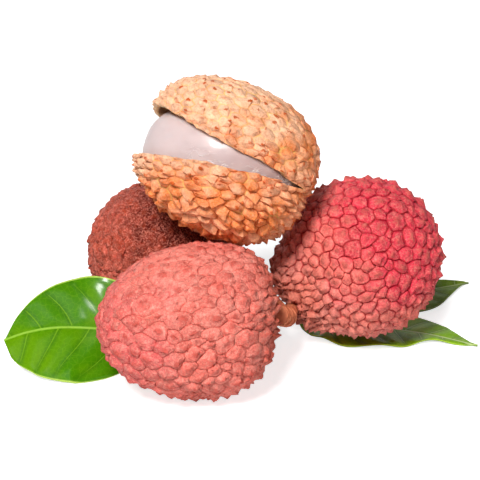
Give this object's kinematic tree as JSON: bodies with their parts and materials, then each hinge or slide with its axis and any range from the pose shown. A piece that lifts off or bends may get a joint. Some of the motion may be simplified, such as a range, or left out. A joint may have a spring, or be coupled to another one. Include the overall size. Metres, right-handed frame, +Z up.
{
  "type": "bunch of lychees",
  "caption": "Bunch of lychees as picked: tubercled fruits on a forked twig with leaves, one fruit split open over its white flesh, lying on a surface.",
  "frame": {"origin": "on the surface that the bunch rests on, below the middle of its bounding box", "axes": "+Z up, +X along the longest side, from the left leaf to the right leaves, +Y from the front fruit to the back one"},
  "size_m": [0.103, 0.0702, 0.0601],
  "materials": {
    "peel_pink": "dry, finely grained pink peel with small brown tubercle tips",
    "peel_crimson": "dry pink peel deepening to crimson between rounded tubercles",
    "peel_brownish_red": "dry brownish red peel with fine tubercles",
    "peel_tan": "dry tan to peach peel with orange-brown grooves and pointed tubercles",
    "flesh": "wet, translucent white flesh",
    "bark": "rough brown ringed bark",
    "leaf_glossy": "glossy bright green leaf with a paler midrib",
    "leaf_pale": "satin green leaf with a yellow-green edge",
    "leaf_dull": "dull dark green leaf"
  },
  "bodies": {
    "root": {"lychee_front": "peel_pink", "lychee_right": "peel_crimson", "lychee_back": "peel_brownish_red", "opened_peel": "peel_tan", "opened_flesh": "flesh", "twig": "bark", "leaf_left": "leaf_glossy", "leaf_front_right": "leaf_pale", "leaf_back_right": "leaf_dull"}
  },
  "joints": []
}
